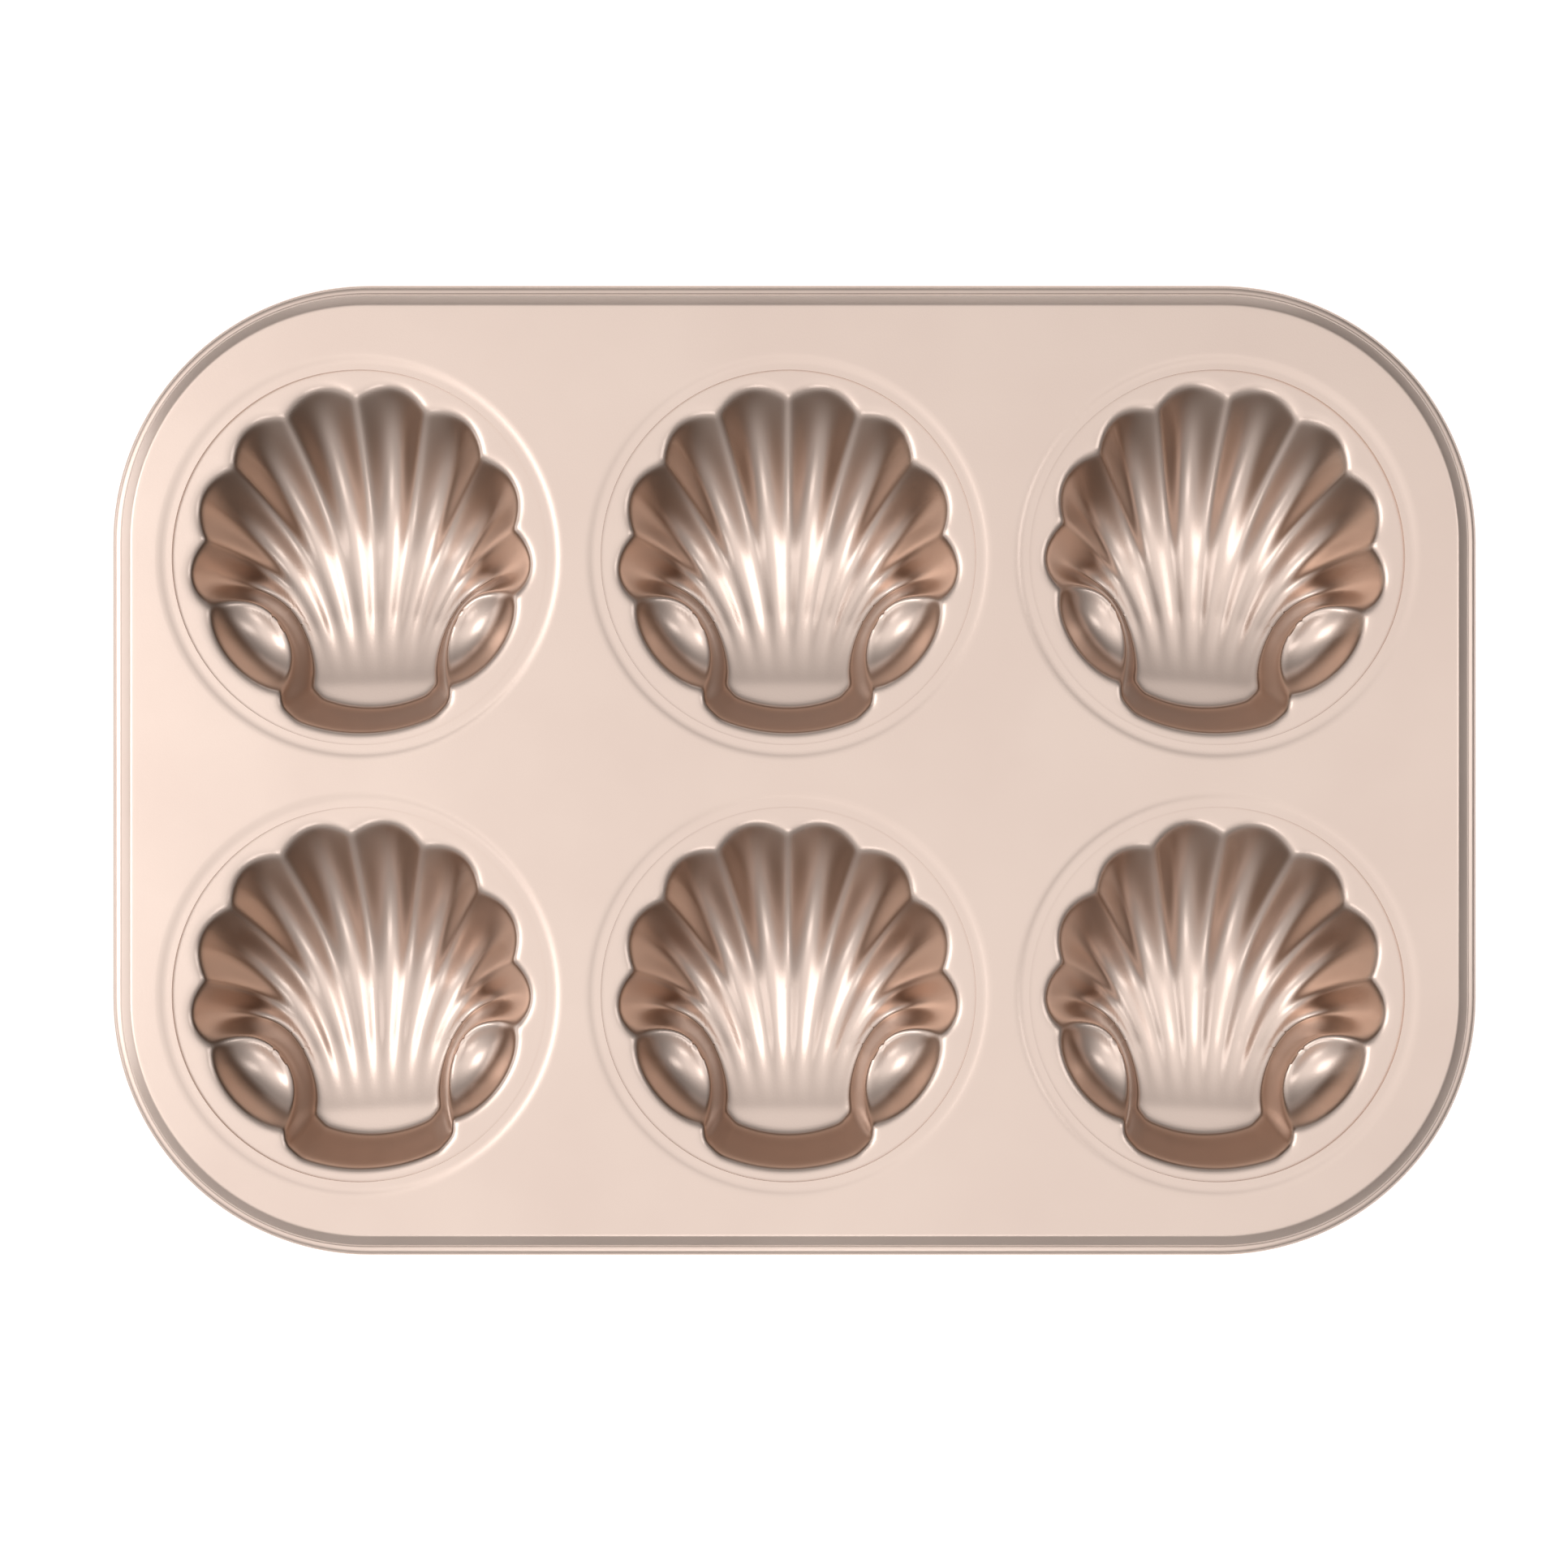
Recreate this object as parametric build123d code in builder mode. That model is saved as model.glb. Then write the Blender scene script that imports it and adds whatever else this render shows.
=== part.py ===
from build123d import *
import os
from math import atan2, cos, degrees, radians, sin, sqrt

# A six-cup madeleine pan. +X runs along the long side, +Y towards the shells' tips and +Z up.
# The origin is on the surface that the pan stands on, under the middle of the rim. Millimetres.

# The whole pan
pan_length = 265.0
pan_width = 188.5
rim_corner_radius = 50.0
sheet = 0.6
overrun = 5.0

# The rim: the deck's edge bends down, slopes out as a short wall and curls round a wire
rim_band = 4.9
edge_bend_radius = 1.2
wall_slope = 50.0
neck_radius = 0.5
bead_radius = 1.6
curl_sweep = 290.0
wire_clearance = 0.05
wire_gap = 1.0

# The grid of cups, which lies a little off the deck's middle
pitch_x = 82.7
pitch_y = 84.3
grid_shift_x = -1.2
grid_shift_y = -1.1

# The round seat of a cup: the deck rolls down to a narrow land that lies on the cup's flange
shoulder_radius = 39.5
ring_radius = 36.2
land_width = 1.0
shoulder_drop = 0.3
flange_margin = 0.9

# One shell cup, in its own frame: its axis at zero, its tips towards +Y, its ledge's top at zero height
mouth_radius = 33.4
cup_depth = 17.5
foot_flat = 0.2
tongue_half_width = 13.2
tongue_depth = 13.5
tongue_y = -23.7
bend_y = -2.0
bend_share = 1.25
floor_share = 0.5
wall_power = 2.0
tip_draft_share = 0.06
rib_height = 1.1
rib_fade_share = 0.3
crest_depth = 6.5
crest_start_depth = 12.0
crest_bend_y = -1.0
base_radius = 33.8
base_foot_radius = 28.4
base_corner_half_width = 17.5
base_corner_reach = 31.4

# The ear pockets beside the tongue
ear_angle = 127.0
ear_turn = 49.0
ear_length_radius = 13.0
ear_radius = 7.3
ear_reach = 32.2

# Shares of the mouth radius and angles from the tips' direction, from the middle to the side
rib_angles = (0.0, 26.0, 52.0, 81.0, 107.5)
rib_radius_share = (0.946, 0.946, 0.926, 0.912, 0.914)
lobe_angles = (12.5, 38.5, 66.0, 94.0)
lobe_radius_share = (1.0, 0.988, 0.972, 0.97)

# The section planes turn about a hinge line behind the tongue and above the ledge
hinge_y = -40.0
hinge_height = 5.0
hinge_clearance = 3.0
section_angles = (78.0, 62.0, 50.0, 41.0, 33.0, 26.0, 20.0, 15.0, 10.5, 6.5, 3.0, 0.0)

# Worked out from the sizes above
ledge_top = cup_depth + sheet - foot_flat
deck_top = ledge_top + sheet + shoulder_drop
flat_length = pan_length - 2 * rim_band
flat_width = pan_width - 2 * rim_band
flat_corner_radius = rim_corner_radius - rim_band
flange_radius = ring_radius + land_width + flange_margin

places = {
    "back_left": (-pitch_x, pitch_y / 2),
    "back_middle": (0.0, pitch_y / 2),
    "back_right": (pitch_x, pitch_y / 2),
    "front_left": (-pitch_x, -pitch_y / 2),
    "front_middle": (0.0, -pitch_y / 2),
    "front_right": (pitch_x, -pitch_y / 2),
}
places = {name: (x + grid_shift_x, y + grid_shift_y) for name, (x, y) in places.items()}

# How far each cup is turned in its round seat, in degrees
turns = {
    "back_left": 2.0,
    "back_middle": 0.0,
    "back_right": -4.5,
    "front_left": 3.5,
    "front_middle": 0.0,
    "front_right": -3.0,
}

os.makedirs("parts", exist_ok=True)


def line_on_shell(t, angle, radius, start_share, start_depth, depth, low_y, grow):
    """A point of a rib or a channel: t is 0 at the tongue and 1 at the mouth."""
    start_x = (tongue_half_width + grow) * start_share
    end_x = (radius + grow) * sin(radians(angle))
    end_y = (radius + grow) * cos(radians(angle))
    if t < 0:
        return Vector(start_x, tongue_y + t * mouth_radius, -start_depth - grow)
    if t > 1:
        spread = 1 + tip_draft_share * (t - 1)
        return Vector(end_x * spread, end_y * spread, (t - 1) * hinge_height)
    before, middle, after = (1 - t) ** 2, 2 * t * (1 - t), t ** 2
    x = before * start_x + middle * start_x * bend_share + after * end_x
    y = before * tongue_y + middle * low_y + after * end_y
    return Vector(x, y, -height_of(t, start_depth + grow, depth + grow))


def height_of(t, start_depth, depth):
    """The depth along a line: from the tongue down to the floor, then up the wall."""
    if t < floor_share:
        return depth - (depth - start_depth) * (1 - t / floor_share) ** 2
    rise = (t - floor_share) / (1 - floor_share)
    return depth * (1 - rise ** wall_power)


def where_plane_cuts(line, angle):
    """The point where a line on the shell passes through a plane of the hinge."""
    low, high = -1.0, 2.0
    for _ in range(50):
        t = (low + high) / 2
        point = line(t)
        if degrees(atan2(hinge_height - point.Z, point.Y - hinge_y)) > angle:
            low = t
        else:
            high = t
    return line(t)


def section_plane(angle):
    """The plane through the hinge line that slopes down by this angle."""
    slope = radians(angle)
    return Plane(origin=(0, hinge_y, hinge_height), x_dir=(1, 0, 0), z_dir=(0, sin(slope), cos(slope)))


def fan_section(angle, grow):
    """The points of one section: nine rib points and the eight channel points between them."""
    plane = section_plane(angle)
    last = len(rib_angles) - 1

    def rib(number):
        place = abs(number)
        side = 1 if number > 0 else -1
        start, depth = tongue_depth - rib_height * rib_fade_share, cup_depth - rib_height
        low_y = bend_y
        if place == last:
            start, depth, low_y = crest_start_depth, crest_depth, crest_bend_y
        radius = mouth_radius * rib_radius_share[place]

        def line(t):
            turn, share = side * rib_angles[place], number / last
            return line_on_shell(t, turn, radius, share, start, depth, low_y, grow)
        return plane.to_local_coords(where_plane_cuts(line, angle))

    def channel(number):
        place = number if number >= 0 else -1 - number
        side = 1 if number >= 0 else -1
        radius = mouth_radius * lobe_radius_share[place]

        def line(t):
            turn, share = side * lobe_angles[place], (number + 1 / 2) / last
            return line_on_shell(t, turn, radius, share, tongue_depth, cup_depth, bend_y, grow)
        return plane.to_local_coords(where_plane_cuts(line, angle))

    ribs = [rib(number) for number in range(-last, last + 1)]
    channels = [channel(number) for number in range(-last, last)]
    return ribs, channels


def shell_form(grow):
    """The space inside a shell, or with the sheet as growth the space that its outer skin fills."""
    with BuildPart() as form:
        for angle in section_angles:
            ribs, channels = fan_section(angle, grow)
            corner = base_corner_half_width + grow
            with BuildSketch(section_plane(angle)):
                with BuildLine():
                    for number, channel in enumerate(channels):
                        ThreePointArc(ribs[number], channel, ribs[number + 1])
                    Polyline(ribs[-1], (corner, hinge_clearance), (-corner, hinge_clearance), ribs[0])
                make_face()
        loft()
        for side in (-1, 1):
            turn = radians(ear_angle)
            reach = ear_reach - ear_radius
            middle = Vector(side * reach * sin(turn), reach * cos(turn), 0)
            along = Vector(-side * cos(radians(ear_turn)), -sin(radians(ear_turn)), 0)
            with BuildSketch(Plane(origin=middle, x_dir=along, z_dir=(0, 0, 1))):
                Ellipse(ear_length_radius + grow, ear_radius + grow)
                Rectangle(
                    2 * (ear_length_radius + overrun),
                    ear_radius + overrun,
                    align=(Align.CENTER, Align.MAX),
                    mode=Mode.SUBTRACT,
                )
            revolve(axis=Axis(middle, along))
        lean = (base_radius - base_foot_radius) / tongue_depth
        low, high = -(cup_depth + overrun), hinge_height + overrun
        with Locations((0, 0, low)):
            Cone(
                base_radius + lean * low + grow,
                base_radius + lean * high + grow,
                high - low,
                align=(Align.CENTER, Align.CENTER, Align.MIN),
                mode=Mode.INTERSECT,
            )
        # The base wall's two front corners are cut off at 45 degrees, with the same lean as the wall
        front = base_corner_reach + lean * high + grow
        back = base_radius + overrun
        with BuildSketch(Plane.XY.offset(high)):
            with BuildLine():
                Polyline((0, -front * sqrt(2)), (back, back - front * sqrt(2)), (back, back))
                Polyline((back, back), (-back, back), (-back, back - front * sqrt(2)), (0, -front * sqrt(2)))
            make_face()
        extrude(amount=low - high, taper=degrees(atan2(lean, 1)), mode=Mode.INTERSECT)
    return form.part


def run_round(section):
    """Carry a section round the pan's edge: along the four sides and round the four corners."""
    reaches = (flat_length / 2, flat_width / 2)
    with BuildPart() as run:
        for quarter in range(4):
            out = Vector(1, 0, 0).rotate(Axis.Z, 90 * quarter)
            along = out.rotate(Axis.Z, 90)
            reach = reaches[quarter % 2]
            straight = reaches[1 - quarter % 2] - flat_corner_radius
            edge = out * reach + Vector(0, 0, deck_top)
            with BuildSketch(Plane(origin=edge, x_dir=out, z_dir=-along)):
                add(section)
            extrude(amount=straight, both=True)
            with BuildSketch(Plane(origin=edge + along * straight, x_dir=out, z_dir=-along)):
                add(section)
            corner = out * (reach - flat_corner_radius) + along * straight
            revolve(axis=Axis(corner, (0, 0, 1)), revolution_arc=90)
    return run.part


# One cup, before it is placed
inside = shell_form(0.0)
skin = shell_form(sheet)

with BuildPart() as cup_blank:
    add(skin)
    with BuildSketch(Plane.XY.offset(-sheet)):
        Circle(flange_radius)
    extrude(amount=sheet)
    # What stands above the ledge goes, then the hollow, and the foot is pressed flat
    with BuildSketch(Plane.XY):
        Circle(flange_radius + overrun)
    extrude(amount=hinge_height + overrun, mode=Mode.SUBTRACT)
    add(inside, mode=Mode.SUBTRACT)
    with BuildSketch(Plane.XY.offset(-ledge_top)):
        Circle(flange_radius + overrun)
    extrude(amount=-overrun, mode=Mode.SUBTRACT)

# The six shell cups, each turned a little in its own seat
for name, (x, y) in places.items():
    with BuildPart() as shell_cup:
        with Locations(Location((x, y, ledge_top), (0, 0, turns[name]))):
            add(cup_blank.part)
    shell_cup.part.label = f"shell_cup_{name}"
    export_step(shell_cup.part, f"parts/shell_cup_{name}.step")

# The rim's section follows its middle line: X runs outwards from the flat deck's edge, Y up from its top
slope = radians(wall_slope)
bend_line_radius = edge_bend_radius - sheet / 2
neck_line_radius = neck_radius + sheet / 2
curl_line_radius = bead_radius - sheet / 2
bead_out = rim_band - bead_radius
wall_run = bead_out - (bend_line_radius + neck_line_radius) * sin(slope)
bend_middle = Vector(0, -sheet / 2 - bend_line_radius)
bend_end = bend_middle + Vector(bend_line_radius * sin(slope), bend_line_radius * cos(slope))
wall_end = bend_end + Vector(wall_run, -wall_run * sin(slope) / cos(slope))
neck_middle = wall_end + Vector(neck_line_radius * sin(slope), neck_line_radius * cos(slope))
bead_middle = neck_middle - Vector(0, neck_line_radius + curl_line_radius)

with BuildSketch() as rim_section:
    with BuildLine():
        CenterArc(bend_middle, bend_line_radius, 90, -wall_slope)
        Line(bend_end, wall_end)
        CenterArc(neck_middle, neck_line_radius, 270 - wall_slope, wall_slope)
        CenterArc(bead_middle, curl_line_radius, 90, -curl_sweep)
    trace(line_width=sheet)
rim = run_round(rim_section.sketch)

# A seat's section: the plate rolls down in an S of two equal arcs to the land on the cup's flange
land_end = ring_radius + land_width
roll_width = (shoulder_radius - land_end) / 2
roll_drop = shoulder_drop / 2
roll_radius = (roll_width ** 2 + roll_drop ** 2) / (2 * roll_drop)
roll_turn = degrees(2 * atan2(roll_drop, roll_width))
land_line = -shoulder_drop - sheet / 2

# The deck: the flat plate, the six seats and the rim
with BuildPart() as deck:
    with BuildSketch(Plane.XY.offset(deck_top - sheet)):
        RectangleRounded(flat_length, flat_width, flat_corner_radius)
        with Locations(*places.values()):
            Circle(shoulder_radius, mode=Mode.SUBTRACT)
    extrude(amount=sheet)
    for x, y in places.values():
        with BuildSketch(Plane(origin=(x, y, deck_top), x_dir=(1, 0, 0), z_dir=(0, -1, 0))):
            with BuildLine():
                CenterArc((shoulder_radius, -sheet / 2 - roll_radius), roll_radius, 90, roll_turn)
                CenterArc((land_end, land_line + roll_radius), roll_radius, 270, roll_turn)
                Line((land_end, land_line), (ring_radius, land_line))
            trace(line_width=sheet)
        revolve(axis=Axis((x, y, 0), (0, 0, 1)))
    add(rim)
deck.part.label = "deck"
export_step(deck.part, "parts/deck.step")

# The wire inside the curled rim: one bent loop, whose ends leave a small gap at the back
wire_radius = bead_radius - sheet - wire_clearance
with BuildSketch() as wire_section:
    with Locations(bead_middle):
        Circle(wire_radius)
loop = run_round(wire_section.sketch)

with BuildPart() as rim_wire:
    add(loop)
    with Locations((0, flat_width / 2 + bead_out, deck_top + bead_middle.Y)):
        Box(wire_gap, 2 * bead_radius, 2 * bead_radius, mode=Mode.SUBTRACT)
rim_wire.part.label = "rim_wire"
export_step(rim_wire.part, "parts/rim_wire.step")
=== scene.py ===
import math

import bmesh
import bpy
import numpy as np
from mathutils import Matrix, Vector, geometry
from mathutils.bvhtree import BVHTree


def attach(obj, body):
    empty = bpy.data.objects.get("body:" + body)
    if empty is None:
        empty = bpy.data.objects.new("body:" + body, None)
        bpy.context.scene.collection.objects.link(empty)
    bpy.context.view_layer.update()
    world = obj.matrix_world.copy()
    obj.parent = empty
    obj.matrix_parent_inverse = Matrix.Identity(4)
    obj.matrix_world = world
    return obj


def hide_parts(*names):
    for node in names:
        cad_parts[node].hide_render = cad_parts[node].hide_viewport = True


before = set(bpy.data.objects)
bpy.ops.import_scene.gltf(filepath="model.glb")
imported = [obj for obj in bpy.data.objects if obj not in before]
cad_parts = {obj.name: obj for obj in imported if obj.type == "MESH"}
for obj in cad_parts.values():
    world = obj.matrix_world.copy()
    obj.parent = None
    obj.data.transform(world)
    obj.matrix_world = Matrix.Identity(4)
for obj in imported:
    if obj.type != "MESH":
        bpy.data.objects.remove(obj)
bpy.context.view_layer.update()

# Sizes below are in millimetres, times MM where a mesh is made
MM = 0.001

# The sheet and the rim
SHEET = 0.6
PAN_LENGTH = 265.0
PAN_WIDTH = 188.5
RIM_CORNER = 50.0
RIM_BAND = 4.9
BEND_RADIUS = 1.2
# The wall's mean slope places the bead. The wall itself starts flatter and ends steeper
WALL_SLOPE = 50.0
WALL_TOP_SLOPE = 32.0
WALL_FOOT_SLOPE = 82.0
FOOT_RADIUS = 0.5
NECK_RADIUS = 0.5
BEAD_RADIUS = 1.6
CURL_SWEEP = 290.0
# How far the strips of the rim and the seats reach over the flat plate
LAP = 0.5

# The seats
PITCH_X = 82.7
PITCH_Y = 84.3
SHIFT_X = -1.2
SHIFT_Y = -1.1
SHOULDER_RADIUS = 39.5
RING_RADIUS = 36.2
LAND_WIDTH = 1.0
SHOULDER_DROP = 0.3
FLANGE_MARGIN = 0.9

# The shell, in its own frame: its axis at zero, its tips towards +Y, its ledge's top at zero height. The powers
# set how fast a form bends, fades or blends along its line
MOUTH_RADIUS = 34.0
CUP_DEPTH = 17.5
FOOT_FLAT = 0.2
TONGUE_HALF = 13.2
TONGUE_DEPTH = 13.2
TONGUE_Y = -23.7
LIP_RISE = 0.22
BEND_Y = -2.0
BEND_SHARE = 1.25
FLOOR_SHARE = 0.5
WALL_POWER = 2.15
RIDGE_POWER = 1.85
RIB_HEIGHT = 1.15
RIB_FADE_SHARE = 0.3
RIB_FADE_POWER = 1.8
RIB_MELT_POWER = 4
CUSP_POWER = 6
TIP_SPREAD = 0.05
TIP_RISE = 4
CREST_DEPTH = 6.5
CREST_START = 12.0
CREST_BEND_Y = -1.0
CREST_BLEND_POWER = 1.6
CREST_WALL_WIDTH = 3.5
CREST_WALL_REACH = 0.9
CREST_WALL_TOP = 3.0
BASE_RADIUS = 33.8
BASE_FOOT_RADIUS = 28.4
BASE_CORNER_REACH = 31.4
EAR_ANGLE = 127.0
EAR_TURN = 49.0
EAR_LENGTH = 13.0
EAR_WIDTH = 8.0
EAR_DEPTH = 8.0
EAR_POWER = 1.0
EAR_REACH = 32.2
EAR_EDGE_RISE = 2

# Ribs are counted from the middle to the side. Their angles are in degrees and their reach, like the reach of
# the lobes between them, is a share of the mouth's radius
RIB_ANGLES = (0.0, 26.0, 52.0, 81.0, 107.5)
RIB_SHARES = (0.918, 0.918, 0.9, 0.89, 0.9)
LOBE_SHARES = (1.0, 0.988, 0.972, 0.97)
LAST_RIB = 4

# How far each cup is turned in its seat, in degrees
TURNS = {"back_left": 2.0, "back_middle": 0.0, "back_right": -4.5,
         "front_left": 3.5, "front_middle": 0.0, "front_right": -3.0}

# How softly the press rounds every edge of a cup
EDGE_BLUR = 0.65

# How finely the cups are worked out: the fan's lines and steps, and the pitch of the height grids inside and
# underneath
FAN_LINES = 241
FAN_STEPS = 90
FINE_PITCH = 0.14
COARSE_PITCH = 0.28

# The floor's half width in metres
FLOOR_HALF = 3.0

# Light levels, as a mirror would show them. The sky's are for the sine of the height above the horizon, and
# its leans make it lighter on the left and at the front
FLOOR_GLOW = 0.6
LEFT_BOX = 2.0
RIGHT_BOX = 1.4
FRONT_BOX = 1.5
LOW_LEFT = 1.2
LOW_BACK = 0.6
SKY = ((0.0, 0.03), (0.45, 0.28), (0.78, 0.62), (0.93, 0.98), (1.0, 1.17))
SKY_LEAN = 0.18
SKY_LEAN_BACK = 0.12

# The coating: its two tones, and the painted shade that darkens them on sloping walls by the cosine of the
# slope
COATING_TONES = ((0.3, (0.82, 0.645, 0.555)), (0.7, (0.86, 0.685, 0.59)))
SLOPE_PAINTED_SHADE = ((0.38, (0.7, 0.6, 0.52)), (0.53, (0.84, 0.77, 0.7)), (0.67, (0.38, 0.32, 0.275)),
               (0.79, (1.0, 1.0, 1.0)))

LEDGE_TOP = CUP_DEPTH + SHEET - FOOT_FLAT
DECK_TOP = LEDGE_TOP + SHEET + SHOULDER_DROP
FLAT_LENGTH = PAN_LENGTH - 2 * RIM_BAND
FLAT_WIDTH = PAN_WIDTH - 2 * RIM_BAND
FLAT_CORNER = RIM_CORNER - RIM_BAND
FLANGE_RADIUS = RING_RADIUS + LAND_WIDTH + FLANGE_MARGIN

# The camera looks straight down from over the middle of the photograph
PHOTO_SCALE = 6.394
DECK_MIDDLE_PX = (979.0, 949.0)
PHOTO_MIDDLE_PX = (966.0, 963.5)
CAMERA_HEIGHT = 480.0
PHOTO_WIDTH_PX = 1932
SENSOR_WIDTH = 36

# The middle of each cup
PLACES = {}
for row, y in (("back", PITCH_Y / 2), ("front", -PITCH_Y / 2)):
    for column, x in (("left", -PITCH_X), ("middle", 0.0), ("right", PITCH_X)):
        PLACES[f"{row}_{column}"] = (x + SHIFT_X, y + SHIFT_Y)


def fan_points(grow, across, along):
    """The fluted fan as a grid: rows run from crest to crest, columns from the tongue to the mouth.

    A line's number is the place between the ribs, and beyond the last rib it is the wall beside the crest.
    A step is 0 at the tongue and 1 at the mouth. Steps outside these carry the fan past both edges.
    """
    lines = np.linspace(-LAST_RIB - 1, LAST_RIB + 1, across)
    steps = np.concatenate([[-0.6, -0.3], np.linspace(0, 1, along), [1.5, 2.0]])
    points = np.zeros((len(lines), len(steps), 3))
    rib_at = np.arange(LAST_RIB + 1)
    for i, line in enumerate(lines):
        side = 1 if line >= 0 else -1
        place = min(abs(line), LAST_RIB)
        number = min(LAST_RIB - 1, int(place))
        in_channel = place - number - 0.5
        rib_share = min(1, 4 * in_channel ** 2)
        soft_share = math.sin(math.pi * in_channel) ** 2
        angle = np.interp(place, rib_at, RIB_ANGLES)
        cusp = np.interp(place, rib_at, RIB_SHARES)
        bulge = LOBE_SHARES[number] - (RIB_SHARES[number] + RIB_SHARES[number + 1]) / 2
        crest = np.clip((place - LAST_RIB + 0.5) / 0.5, 0, 1)
        beyond = max(0, abs(line) - LAST_RIB)
        shape = 0.5 * rib_share + 0.5 * soft_share
        start_x = (TONGUE_HALF + grow) * place / LAST_RIB
        bend_y = BEND_Y + (CREST_BEND_Y - BEND_Y) * crest
        for j, t in enumerate(steps):
            inside = min(max(t, 0), 1)
            cusp_share = soft_share + (rib_share - soft_share) * inside ** CUSP_POWER
            radius = MOUTH_RADIUS * (cusp + bulge * (1 - cusp_share)) + grow
            end_x = radius * math.sin(math.radians(angle))
            end_y = radius * math.cos(math.radians(angle))
            before, middle, after = (1 - inside) ** 2, 2 * inside * (1 - inside), inside ** 2
            x = before * start_x + middle * start_x * BEND_SHARE + after * end_x
            y = before * TONGUE_Y + middle * bend_y + after * end_y
            rise = max(0, (inside - FLOOR_SHARE) / (1 - FLOOR_SHARE))
            wall = 1 - rise ** (WALL_POWER + (RIDGE_POWER - WALL_POWER) * shape)
            sag = max(0, 1 - inside / FLOOR_SHARE) ** 2
            rib = RIB_HEIGHT * shape * min(1, inside / RIB_FADE_SHARE) ** RIB_FADE_POWER
            rib *= 1 - rise ** RIB_MELT_POWER
            floor = (CUP_DEPTH - (CUP_DEPTH - TONGUE_DEPTH) * sag + grow) * wall - rib
            crest_floor = (CREST_DEPTH + (CREST_START - CREST_DEPTH) * sag + grow) * wall
            depth = floor + (crest_floor - floor) * crest ** CREST_BLEND_POWER
            if t < 0:
                y += t * MOUTH_RADIUS
                depth += t * MOUTH_RADIUS * LIP_RISE
            if t > 1:
                x *= 1 + TIP_SPREAD * (t - 1)
                y *= 1 + TIP_SPREAD * (t - 1)
                depth = -(t - 1) * TIP_RISE
            if beyond:
                x += beyond * CREST_WALL_WIDTH * (1 - inside * CREST_WALL_REACH)
                y -= beyond * CREST_WALL_WIDTH * inside * CREST_WALL_REACH
                depth += beyond * (-CREST_WALL_TOP - depth)
            points[i, j] = (side * x, y, -depth)
    return points


def raw_height(grow, x, y):
    """The shell's height from the ledge's top at each point, with sharp edges still."""
    under_all, over_all = -40, 6.0
    points = fan_points(grow, FAN_LINES, FAN_STEPS)
    rows, columns, _ = points.shape
    quads = []
    for i in range(rows - 1):
        for j in range(columns - 1):
            corner = i * columns + j
            quads.append((corner, corner + columns, corner + columns + 1, corner + 1))
    tree = BVHTree.FromPolygons([tuple(p) for p in points.reshape(-1, 3)], quads)
    radius = np.hypot(x, y)
    fan = np.full(x.shape, over_all)
    up = Vector((0, 0, 1))
    flat_x, flat_y, flat_fan = x.ravel(), y.ravel(), fan.ravel()
    for k in np.flatnonzero(radius < MOUTH_RADIUS + 2 * SHEET):
        hit = tree.ray_cast(Vector((flat_x[k], flat_y[k], under_all)), up)
        if hit[0] is not None:
            flat_fan[k] = hit[0].z
    height = flat_fan.reshape(x.shape)
    lean = (BASE_RADIUS - BASE_FOOT_RADIUS) / TONGUE_DEPTH
    corner = (np.abs(x) - y) * math.sqrt(0.5) - BASE_CORNER_REACH - grow
    height = np.where(y < TONGUE_Y / 2, np.maximum(height, corner / lean), height)
    for side in (-1, 1):
        turn = math.radians(EAR_ANGLE)
        reach = EAR_REACH - EAR_WIDTH
        off_x = x - side * reach * math.sin(turn)
        off_y = y - reach * math.cos(turn)
        lie = math.radians(EAR_TURN)
        along = -off_x * side * math.cos(lie) - off_y * math.sin(lie)
        across = -off_x * side * math.sin(lie) + off_y * math.cos(lie)
        share = (along / (EAR_LENGTH + grow)) ** 2 + (across / (EAR_WIDTH + grow)) ** 2
        pocket = -(EAR_DEPTH + grow) * np.clip(1 - share, 0, 1) ** EAR_POWER
        pocket += np.clip(share - 1, 0, None) * EAR_WIDTH * EAR_EDGE_RISE
        height = np.minimum(height, pocket)
    height = np.maximum(height, (radius - BASE_RADIUS - grow) / lean)
    return np.clip(height, -CUP_DEPTH - grow, -grow)


def blurred(height, spread):
    """Rounds every edge of a height grid as a press does. The spread is in grid steps."""
    reach = int(3 * spread) + 1
    kernel = np.exp(-0.5 * (np.arange(-reach, reach + 1) / spread) ** 2)
    kernel /= kernel.sum()
    for axis in (0, 1):
        height = np.apply_along_axis(np.convolve, axis, height, kernel, "same")
    return height


def shell_height(grow, pitch, angles, radii):
    """The rounded shell's height at points given by angle and radius from the cup's axis."""
    half = FLANGE_RADIUS + 2
    steps = np.arange(-half, half + pitch, pitch)
    grid_x, grid_y = np.meshgrid(steps, steps, indexing="ij")
    grid = blurred(raw_height(grow, grid_x, grid_y), EDGE_BLUR / pitch)
    at_x = (np.outer(np.cos(angles), radii) + half) / pitch
    at_y = (np.outer(np.sin(angles), radii) + half) / pitch
    low_x, low_y = at_x.astype(int), at_y.astype(int)
    part_x, part_y = at_x - low_x, at_y - low_y
    near = grid[low_x, low_y] * (1 - part_x) + grid[low_x + 1, low_y] * part_x
    far = grid[low_x, low_y + 1] * (1 - part_x) + grid[low_x + 1, low_y + 1] * part_x
    return near * (1 - part_y) + far * part_y


def even_rows(height, angles, radii, count):
    """Points spaced evenly along each ray of a height field, so that steep walls get as many as flat ones."""
    result = np.zeros((len(angles), count, 3))
    for i, angle in enumerate(angles):
        run = np.concatenate([[0], np.cumsum(np.hypot(np.diff(radii), np.diff(height[i])))])
        stops = np.linspace(0, run[-1], count)
        r = np.interp(stops, run, radii)
        result[i, :, 0] = r * math.cos(angle)
        result[i, :, 1] = r * math.sin(angle)
        result[i, :, 2] = np.interp(stops, run, height[i])
    return result


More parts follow.
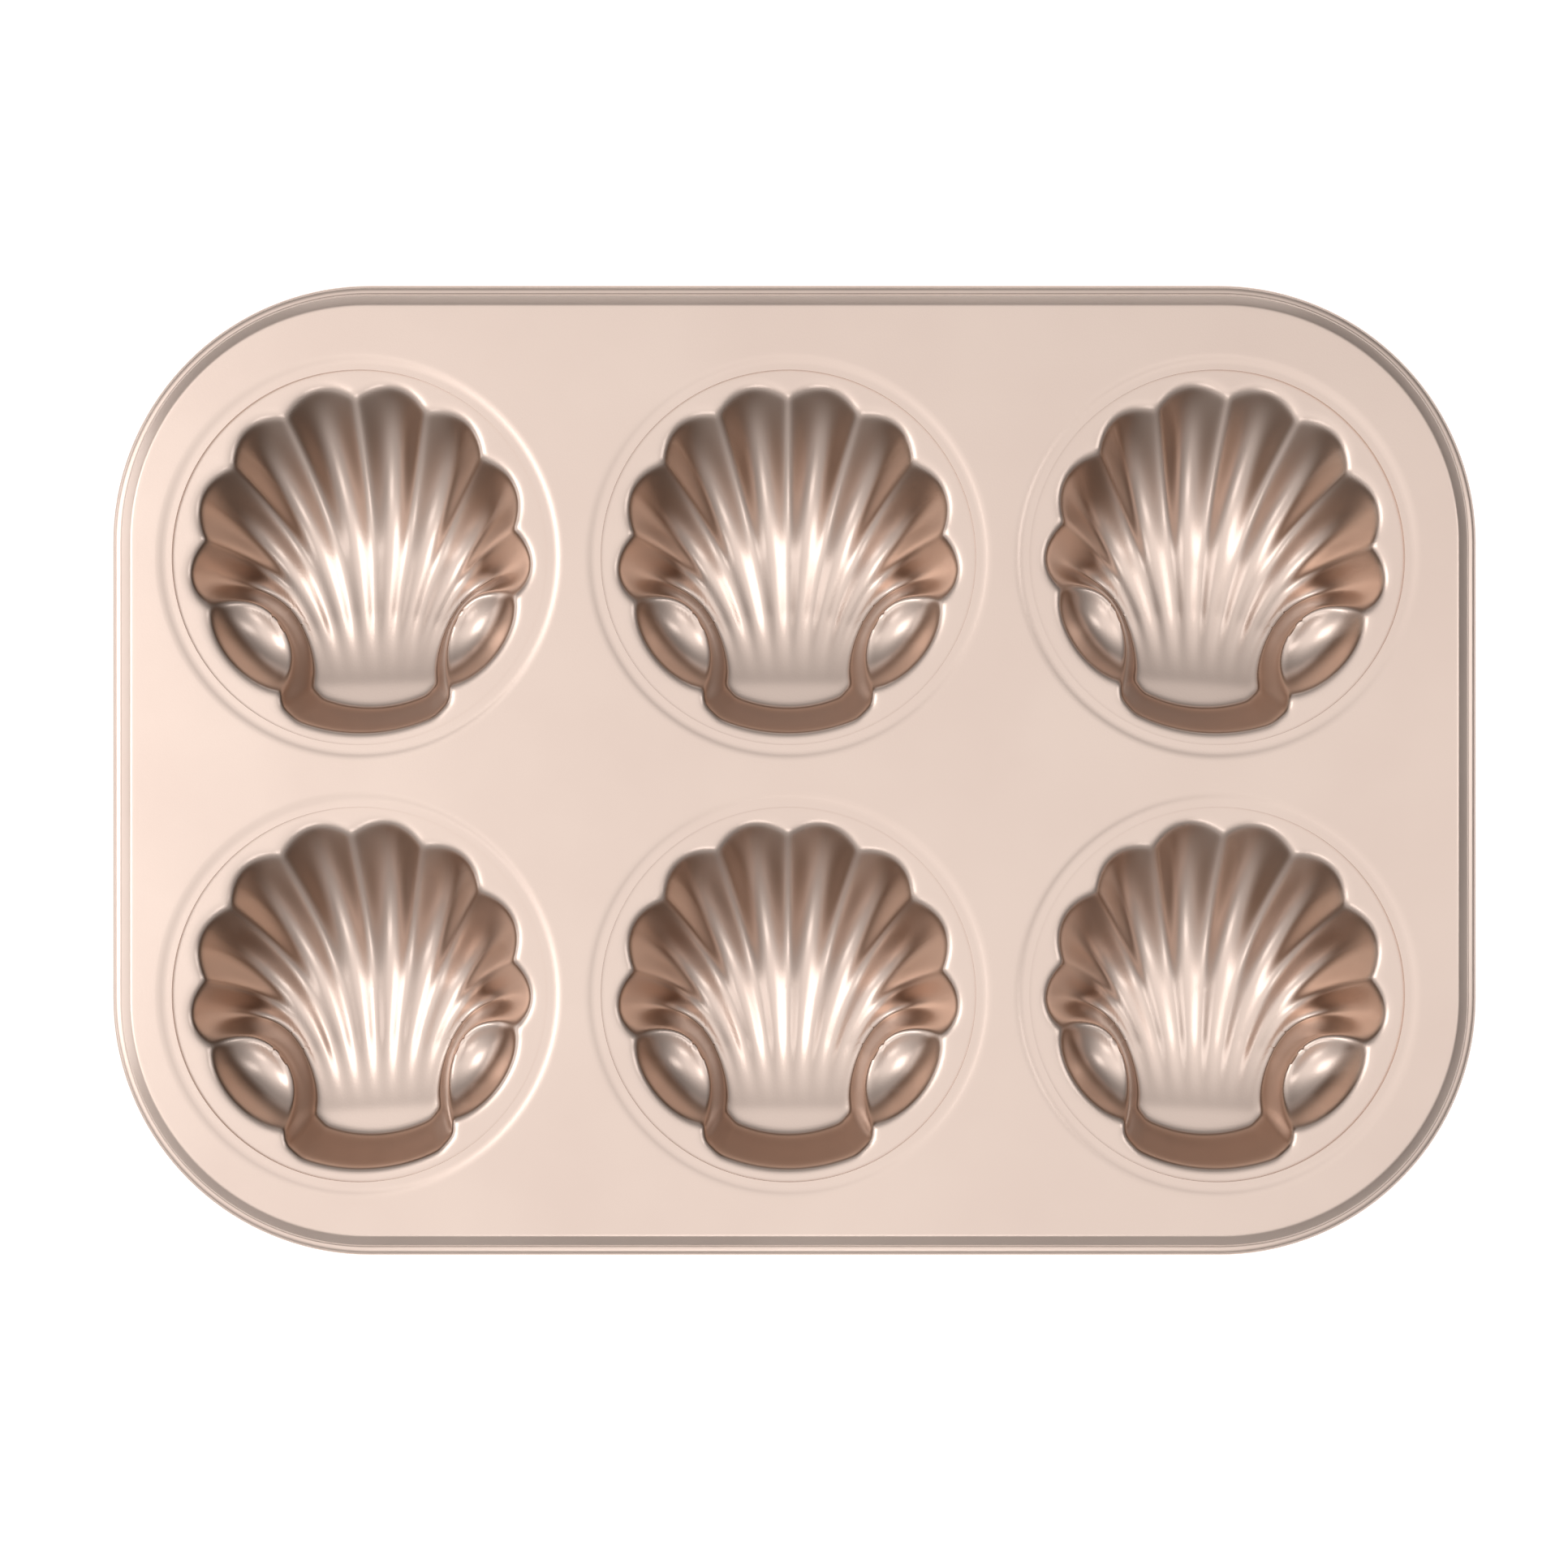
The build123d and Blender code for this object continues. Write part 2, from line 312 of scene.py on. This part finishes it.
def mesh_object(name, verts, faces, flat_angle=50.0):
    """A smooth mesh with its sharp edges marked."""
    mesh = bpy.data.meshes.new(name)
    mesh.from_pydata([tuple(float(c) * MM for c in v) for v in verts], [], faces)
    bm = bmesh.new()
    bm.from_mesh(mesh)
    bmesh.ops.remove_doubles(bm, verts=bm.verts, dist=1e-7)
    bmesh.ops.recalc_face_normals(bm, faces=bm.faces)
    for face in bm.faces:
        face.smooth = True
    for edge in bm.edges:
        if len(edge.link_faces) == 2 and edge.calc_face_angle() > math.radians(flat_angle):
            edge.smooth = False
    bm.to_mesh(mesh)
    bm.free()
    obj = bpy.data.objects.new(name, mesh)
    bpy.context.collection.objects.link(obj)
    return obj


def cup_shape():
    """One cup in its own frame: its inner surface, its skin underneath and the edge of its flange."""
    around, rings = 384, 76
    low_around, low_rings = around // 2, 44
    pole_radius, fine = 0.3, 480
    angles = np.linspace(0, 2 * math.pi, around, endpoint=False)
    radii = np.linspace(pole_radius, FLANGE_RADIUS, fine)
    inner = shell_height(0.0, FINE_PITCH, angles, radii)
    top = even_rows(inner, angles, radii, rings)
    low_angles = np.linspace(0, 2 * math.pi, low_around, endpoint=False)
    outer = shell_height(SHEET, COARSE_PITCH, low_angles, radii)
    under = even_rows(outer, low_angles, radii, low_rings)
    under[:, :, 2] = np.maximum(under[:, :, 2], -LEDGE_TOP)
    verts = [tuple(p) for p in top.reshape(-1, 3)]
    faces = []
    for i in range(around):
        k = (i + 1) % around
        for j in range(rings - 1):
            faces.append((i * rings + j, i * rings + j + 1, k * rings + j + 1, k * rings + j))
    pole = len(verts)
    verts.append((0, 0, float(top[:, 0, 2].mean())))
    for i in range(around):
        faces.append((pole, i * rings, ((i + 1) % around) * rings))
    base = len(verts)
    verts += [tuple(p) for p in under.reshape(-1, 3)]
    for i in range(low_around):
        k = (i + 1) % low_around
        for j in range(low_rings - 1):
            faces.append((base + i * low_rings + j, base + k * low_rings + j,
                          base + k * low_rings + j + 1, base + i * low_rings + j + 1))
    low_pole = len(verts)
    verts.append((0, 0, float(under[:, 0, 2].mean())))
    for i in range(low_around):
        k = (i + 1) % low_around
        faces.append((low_pole, base + k * low_rings, base + i * low_rings))
        upper = [((2 * i + n) % around) * rings + rings - 1 for n in range(3)]
        lower = [base + i * low_rings + low_rings - 1, base + k * low_rings + low_rings - 1]
        faces.append((upper[0], lower[0], upper[1]))
        faces.append((upper[1], lower[0], lower[1]))
        faces.append((upper[1], lower[1], upper[2]))
    return np.array(verts), faces


def rim_line():
    """The rim's middle line as points with their normals' angles: X outwards from the flat deck, Y up."""
    mean, top, foot = (math.radians(a) for a in (WALL_SLOPE, WALL_TOP_SLOPE, WALL_FOOT_SLOPE))
    bend, neck, curl = BEND_RADIUS - SHEET / 2, NECK_RADIUS + SHEET / 2, BEAD_RADIUS - SHEET / 2
    bead_out = RIM_BAND - BEAD_RADIUS
    drop = (bead_out - (bend + neck) * math.sin(mean)) * math.tan(mean) + (bend + neck) * (1 - math.cos(mean))
    # The wall starts at its top slope and ends at its foot slope, and still meets the bead at the same place
    across = bead_out - bend * math.sin(top) - FOOT_RADIUS * (math.sin(foot) - math.sin(top))
    across -= neck * math.sin(foot)
    down = drop - bend * (1 - math.cos(top)) - FOOT_RADIUS * (math.cos(top) - math.cos(foot))
    down -= neck * (1 - math.cos(foot))
    top_run = (across * math.sin(foot) - down * math.cos(foot)) / math.sin(foot - top)
    foot_run = (down * math.cos(top) - across * math.sin(top)) / math.sin(foot - top)
    y = -SHEET / 2
    points = [(-LAP, y, math.pi / 2)]
    for turn in np.linspace(0, top, 6):
        points.append((bend * math.sin(turn), y - bend + bend * math.cos(turn), math.pi / 2 - turn))
    x, y = points[-1][0] + top_run * math.cos(top), points[-1][1] - top_run * math.sin(top)
    for turn in np.linspace(top, foot, 6):
        points.append((x + FOOT_RADIUS * (math.sin(turn) - math.sin(top)),
                       y - FOOT_RADIUS * (math.cos(top) - math.cos(turn)), math.pi / 2 - turn))
    x, y = points[-1][0] + foot_run * math.cos(foot), points[-1][1] - foot_run * math.sin(foot)
    middle = (x + neck * math.sin(foot), y + neck * math.cos(foot))
    for turn in np.linspace(foot, 0, 8):
        points.append((middle[0] - neck * math.sin(turn), middle[1] - neck * math.cos(turn),
                       math.pi / 2 - turn))
    low = (middle[0], middle[1] - neck - curl)
    for turn in np.linspace(0, math.radians(CURL_SWEEP), 40)[1:]:
        normal = math.pi / 2 - turn
        points.append((low[0] + curl * math.cos(normal), low[1] + curl * math.sin(normal), normal))
    return points


def seat_line():
    """A seat's middle line, from its inner edge out to the flat deck: radius, height and normal."""
    land_end = RING_RADIUS + LAND_WIDTH
    half, drop = (SHOULDER_RADIUS - land_end) / 2, SHOULDER_DROP / 2
    roll = (half ** 2 + drop ** 2) / (2 * drop)
    turn = 2 * math.atan2(drop, half)
    level = -SHOULDER_DROP - SHEET / 2
    points = [(RING_RADIUS, level, math.pi / 2), (RING_RADIUS + LAND_WIDTH / 2, level, math.pi / 2)]
    for a in np.linspace(0, turn, 8):
        points.append((land_end + roll * math.sin(a), level + roll - roll * math.cos(a), math.pi / 2 + a))
    for a in np.linspace(turn, 0, 8)[1:]:
        points.append((SHOULDER_RADIUS - roll * math.sin(a), -SHEET / 2 - roll + roll * math.cos(a),
                       math.pi / 2 + a))
    points.append((SHOULDER_RADIUS + LAP, -SHEET / 2, math.pi / 2))
    return points


def sheet_faces(line):
    """The two faces of the sheet along a middle line, both in the line's direction."""
    half = SHEET / 2
    upper = [(x + half * math.cos(n), y + half * math.sin(n)) for x, y, n in line]
    lower = [(x - half * math.cos(n), y - half * math.sin(n)) for x, y, n in line]
    return upper, lower


def edge_path():
    """Points round the flat deck's edge with their outward normals."""
    radius, steps = FLAT_CORNER, 36
    path = []
    for quarter in range(4):
        middle = ((FLAT_LENGTH / 2 - radius) * (1 if quarter in (0, 3) else -1),
                  (FLAT_WIDTH / 2 - radius) * (1 if quarter in (0, 1) else -1))
        for step in range(steps + 1):
            a = math.radians(90 * quarter + step * 90 / steps)
            path.append((middle[0] + radius * math.cos(a), middle[1] + radius * math.sin(a),
                         math.cos(a), math.sin(a)))
    return path


def add_strip(verts, faces, rings):
    """Joins equal rings of points with quads, each ring a closed loop."""
    count = len(rings[0])
    base = len(verts)
    for ring in rings:
        verts.extend(ring)
    for k in range(len(rings) - 1):
        for i in range(count):
            n = (i + 1) % count
            faces.append((base + k * count + i, base + k * count + n,
                          base + (k + 1) * count + n, base + (k + 1) * count + i))


def deck_shape():
    """The deck: the rim's strip, the six seats' strips and the flat plate between them, above and below."""
    verts, faces = [], []
    path = edge_path()
    upper, lower = sheet_faces(rim_line())
    section = upper + lower[::-1]
    rings = [[(px + nx * x, py + ny * x, DECK_TOP + y) for px, py, nx, ny in path] for x, y in section]
    add_strip(verts, faces, rings)
    seat_upper, seat_lower = sheet_faces(seat_line())
    around = 192
    turns = [2 * math.pi * i / around for i in range(around)]
    for cx, cy in PLACES.values():
        section = seat_upper[::-1] + seat_lower
        rings = [[(cx + r * math.cos(a), cy + r * math.sin(a), DECK_TOP + y) for a in turns]
                 for r, y in section]
        add_strip(verts, faces, rings)
    edge = [(px - LAP * nx, py - LAP * ny) for px, py, nx, ny in path]
    flat_radius = SHOULDER_RADIUS + LAP
    points, edges = list(edge), [(i, (i + 1) % len(edge)) for i in range(len(edge))]
    for cx, cy in PLACES.values():
        base = len(points)
        points += [(cx + flat_radius * math.cos(a), cy + flat_radius * math.sin(a)) for a in turns]
        edges += [(base + i, base + (i + 1) % around) for i in range(around)]
    found = geometry.delaunay_2d_cdt([Vector(p) for p in points], edges, [], 0, 1e-6)
    spots, triangles = found[0], found[2]
    for z, flip in ((DECK_TOP, False), (DECK_TOP - SHEET, True)):
        base = len(verts)
        verts += [(p.x, p.y, z) for p in spots]
        for tri in triangles:
            if any(all(math.hypot(spots[i].x - cx, spots[i].y - cy) < flat_radius + 0.001 for i in tri)
                   for cx, cy in PLACES.values()):
                continue
            corners = tuple(base + i for i in tri)
            faces.append(corners[::-1] if flip else corners)
    return np.array(verts), faces


def new_material(name):
    """A material with an empty node tree: the material, its nodes, its links and its output node."""
    material = bpy.data.materials.new(name)
    material.use_nodes = True
    tree = material.node_tree
    tree.nodes.clear()
    return material, tree.nodes, tree.links, tree.nodes.new("ShaderNodeOutputMaterial")


def math_node(nodes, links, operation, first, second=None, third=None):
    """A math node. Each input is a socket to link or a number."""
    node = nodes.new("ShaderNodeMath")
    node.operation = operation
    for socket, value in zip(node.inputs, (first, second, third)):
        if isinstance(value, bpy.types.NodeSocket):
            links.new(value, socket)
        elif value is not None:
            socket.default_value = value
    return node.outputs[0]


def noise_node(nodes, links, place, scale, detail=2):
    """Noise fixed to the object."""
    noise = nodes.new("ShaderNodeTexNoise")
    noise.inputs["Scale"].default_value = scale
    noise.inputs["Detail"].default_value = detail
    links.new(place.outputs["Object"], noise.inputs["Vector"])
    return noise.outputs["Fac"]


def ramp_node(nodes, links, factor, stops, interpolation="LINEAR"):
    """A colour ramp with these stops: places and colours."""
    ramp = nodes.new("ShaderNodeValToRGB")
    ramp.color_ramp.interpolation = interpolation
    elements = ramp.color_ramp.elements
    for _ in stops[2:]:
        elements.new(0.5)
    for element, (position, color) in zip(elements, stops):
        element.position = position
        element.color = (*color, 1)
    links.new(factor, ramp.inputs["Fac"])
    return ramp.outputs["Color"]


def mix_node(nodes, links, blend_type, factor, first, second):
    """A colour mix. The factor and the second colour are each a socket or a value."""
    mix = nodes.new("ShaderNodeMix")
    mix.data_type = "RGBA"
    mix.blend_type = blend_type
    links.new(first, mix.inputs[6])
    for socket, value in ((mix.inputs[0], factor), (mix.inputs[7], second)):
        if isinstance(value, bpy.types.NodeSocket):
            links.new(value, socket)
        else:
            socket.default_value = value
    return mix.outputs[2]


def coating_material():
    """Champagne non-stick coating: metallic flake in a satin lacquer, with a faint orange peel."""
    material, nodes, links, out = new_material("champagne_coating")
    shader = nodes.new("ShaderNodeBsdfPrincipled")
    links.new(shader.outputs[0], out.inputs[0])
    shader.inputs["Metallic"].default_value = 0.93
    shader.inputs["Coat Weight"].default_value = 1.0
    shader.inputs["Coat Roughness"].default_value = 0.18
    place = nodes.new("ShaderNodeTexCoord")
    # The base colour wanders a little, and painted shade darkens and browns it on sloping walls by their slope
    tone = noise_node(nodes, links, place, 35, 3)
    base = ramp_node(nodes, links, tone, COATING_TONES)
    split = nodes.new("ShaderNodeSeparateXYZ")
    links.new(place.outputs["Normal"], split.inputs[0])
    level = math_node(nodes, links, "ABSOLUTE", split.outputs["Z"])
    painted_shade = ramp_node(nodes, links, level, SLOPE_PAINTED_SHADE, "EASE")
    links.new(mix_node(nodes, links, "MULTIPLY", 1.0, base, painted_shade), shader.inputs["Base Color"])
    rough = nodes.new("ShaderNodeMapRange")
    rough.inputs["To Min"].default_value = 0.31
    rough.inputs["To Max"].default_value = 0.38
    links.new(tone, rough.inputs["Value"])
    links.new(rough.outputs["Result"], shader.inputs["Roughness"])
    bump = nodes.new("ShaderNodeBump")
    bump.inputs["Strength"].default_value = 0.06
    bump.inputs["Distance"].default_value = 0.0002
    links.new(noise_node(nodes, links, place, 2600), bump.inputs["Height"])
    links.new(bump.outputs["Normal"], shader.inputs["Normal"])
    return material


def steel_material():
    """Drawn steel, faintly mottled."""
    material, nodes, links, out = new_material("drawn_steel")
    shader = nodes.new("ShaderNodeBsdfPrincipled")
    links.new(shader.outputs[0], out.inputs[0])
    shader.inputs["Metallic"].default_value = 1
    shader.inputs["Roughness"].default_value = 0.38
    place = nodes.new("ShaderNodeTexCoord")
    grey = noise_node(nodes, links, place, 400)
    tones = ((0.0, (0.42, 0.41, 0.39)), (1.0, (0.6, 0.59, 0.57)))
    links.new(ramp_node(nodes, links, grey, tones), shader.inputs["Base Color"])
    return material


def make_cups(material):
    """One cup's shape in six seats, each turned a little."""
    verts, faces = cup_shape()
    for name, (cx, cy) in PLACES.items():
        turn = math.radians(TURNS[name])
        placed = np.empty_like(verts)
        placed[:, 0] = verts[:, 0] * math.cos(turn) - verts[:, 1] * math.sin(turn) + cx
        placed[:, 1] = verts[:, 0] * math.sin(turn) + verts[:, 1] * math.cos(turn) + cy
        placed[:, 2] = verts[:, 2] + LEDGE_TOP
        cup = mesh_object(f"cup_{name}", placed, faces)
        cup.data.materials.append(material)
        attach(cup, "root")
        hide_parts(f"shell_cup_{name}")


def make_deck(material):
    """The deck in place of the CAD's."""
    verts, faces = deck_shape()
    deck = mesh_object("deck_sheet", verts, faces)
    deck.data.materials.append(material)
    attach(deck, "root")
    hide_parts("deck")


def dress_wire(material):
    """The wire keeps its CAD shape."""
    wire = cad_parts["rim_wire"]
    for slot in wire.material_slots:
        slot.material = material


def make_floor():
    """A white floor that stays white in the camera and in reflections, and keeps the pan's shadow."""
    mesh = bpy.data.meshes.new("studio_floor")
    corners = [(x * FLOOR_HALF, y * FLOOR_HALF, 0) for x, y in ((-1, -1), (1, -1), (1, 1), (-1, 1))]
    mesh.from_pydata(corners, [], [(0, 1, 2, 3)])
    floor = bpy.data.objects.new("studio_floor", mesh)
    bpy.context.collection.objects.link(floor)
    material, nodes, links, out = new_material("white_floor")
    paper = nodes.new("ShaderNodeBsdfDiffuse")
    paper.inputs["Color"].default_value = (0.9, 0.9, 0.9, 1)
    path = nodes.new("ShaderNodeLightPath")
    seen = math_node(nodes, links, "ADD", path.outputs["Is Camera Ray"], path.outputs["Is Glossy Ray"])
    seen = math_node(nodes, links, "ADD", seen, path.outputs["Is Transmission Ray"])
    glow = nodes.new("ShaderNodeEmission")
    links.new(math_node(nodes, links, "MULTIPLY", seen, FLOOR_GLOW), glow.inputs["Strength"])
    both = nodes.new("ShaderNodeAddShader")
    links.new(paper.outputs[0], both.inputs[0])
    links.new(glow.outputs[0], both.inputs[1])
    links.new(both.outputs[0], out.inputs[0])
    mesh.materials.append(material)


def area_light(name, place, target, size, radiance):
    """A softbox. The radiance is what a mirror facing it would show."""
    light = bpy.data.lights.new(name, "AREA")
    light.shape = "RECTANGLE"
    light.size, light.size_y = size
    light.energy = radiance * math.pi * size[0] * size[1]
    lamp = bpy.data.objects.new(name, light)
    lamp.location = place
    lamp.rotation_euler = (Vector(target) - Vector(place)).to_track_quat("-Z", "Y").to_euler()
    bpy.context.collection.objects.link(lamp)


def make_world():
    """A soft sky that falls off to a dark horizon. Past the floor the camera itself sees plain white."""
    world = bpy.data.worlds.new("studio")
    bpy.context.scene.world = world
    world.use_nodes = True
    nodes, links = world.node_tree.nodes, world.node_tree.links
    place = nodes.new("ShaderNodeTexCoord")
    split = nodes.new("ShaderNodeSeparateXYZ")
    links.new(place.outputs["Generated"], split.inputs[0])
    height = math_node(nodes, links, "MULTIPLY_ADD", split.outputs["X"], -SKY_LEAN, split.outputs["Z"])
    height = math_node(nodes, links, "MULTIPLY_ADD", split.outputs["Y"], -SKY_LEAN_BACK, height)
    sky = ramp_node(nodes, links, height, [(at, (level,) * 3) for at, level in SKY], "B_SPLINE")
    path = nodes.new("ShaderNodeLightPath")
    seen = mix_node(nodes, links, "MIX", path.outputs["Is Camera Ray"], sky, (1, 1, 1, 1))
    links.new(seen, nodes["Background"].inputs["Color"])
    nodes["Background"].inputs["Strength"].default_value = 1


def make_lights():
    """Three softboxes above the pan, two long low lamps on the left and at the back, and the sky."""
    middle, low_middle = (0, 0, 0), (0, 0, 0.02)
    area_light("left_box", (-0.78, 0.05, 0.82), middle, (0.55, 0.6), LEFT_BOX)
    area_light("right_box", (0.78, 0.05, 0.82), middle, (0.34, 0.5), RIGHT_BOX)
    area_light("front_box", (0, -0.75, 0.8), middle, (0.45, 0.25), FRONT_BOX)
    area_light("low_left", (-1.4, 0.1, 0.2), low_middle, (1.2, 0.3), LOW_LEFT)
    area_light("low_back", (0.0, 1.4, 0.2), low_middle, (1.4, 0.3), LOW_BACK)
    make_world()


def make_camera():
    """The photograph's view."""
    x = (PHOTO_MIDDLE_PX[0] - DECK_MIDDLE_PX[0]) / PHOTO_SCALE
    y = (DECK_MIDDLE_PX[1] - PHOTO_MIDDLE_PX[1]) / PHOTO_SCALE
    data = bpy.data.cameras.new("camera")
    camera = bpy.data.objects.new("camera", data)
    camera.location = (x * MM, y * MM, (DECK_TOP + CAMERA_HEIGHT) * MM)
    data.sensor_width = SENSOR_WIDTH
    data.lens = data.sensor_width * CAMERA_HEIGHT / (PHOTO_WIDTH_PX / PHOTO_SCALE)
    data.clip_start = 0.01
    bpy.context.collection.objects.link(camera)
    bpy.context.scene.camera = camera


make_camera()
coating = coating_material()
make_cups(coating)
make_deck(coating)
dress_wire(steel_material())
make_floor()
make_lights()
bpy.context.scene.view_settings.view_transform = "Standard"
